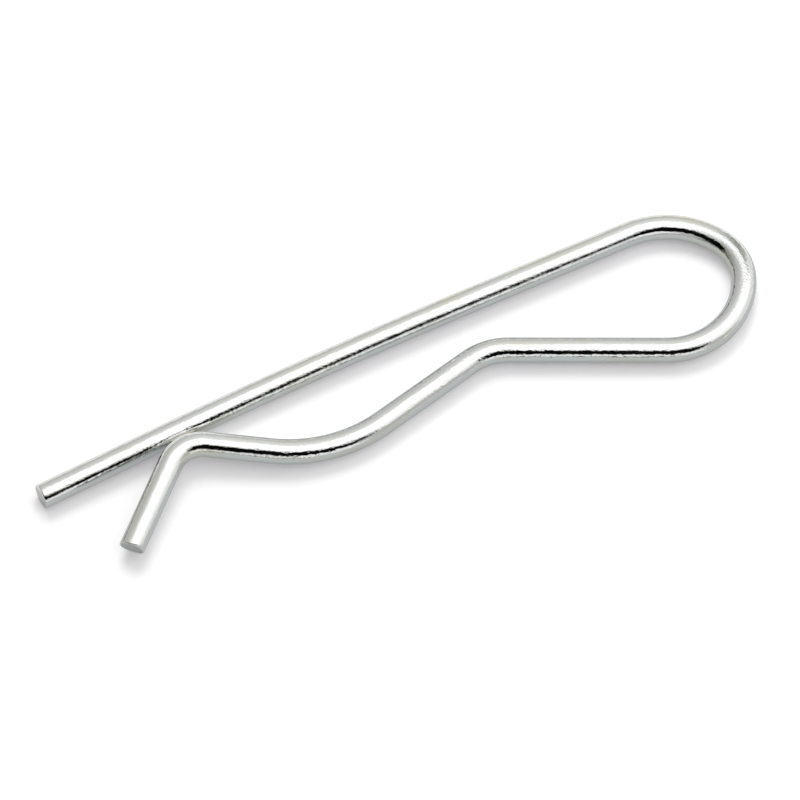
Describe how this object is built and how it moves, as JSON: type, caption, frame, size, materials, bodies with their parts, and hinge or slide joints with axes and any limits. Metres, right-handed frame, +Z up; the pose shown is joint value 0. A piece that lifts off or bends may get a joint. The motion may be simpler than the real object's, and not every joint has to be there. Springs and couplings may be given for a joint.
{
  "type": "hitch R clip pin",
  "caption": "Spring clip bent from one round wire: a straight leg goes through a shaft's cross hole, and a sprung arm with a humped seat grips round the shaft.",
  "frame": {"origin": "under the middle of the clip, on the surface that it lies on", "axes": "+X along the straight leg, from its cut end towards the loop; +Y from the sprung arm towards the leg; +Z up, across the clip's flat plane"},
  "size_m": [0.0944, 0.0236, 0.0043],
  "materials": {
    "zinc_plated_wire": "bright zinc plate on drawn spring wire, with fine lengthwise drawing marks"
  },
  "bodies": {
    "root": {"r_clip": "zinc_plated_wire"}
  },
  "joints": []
}
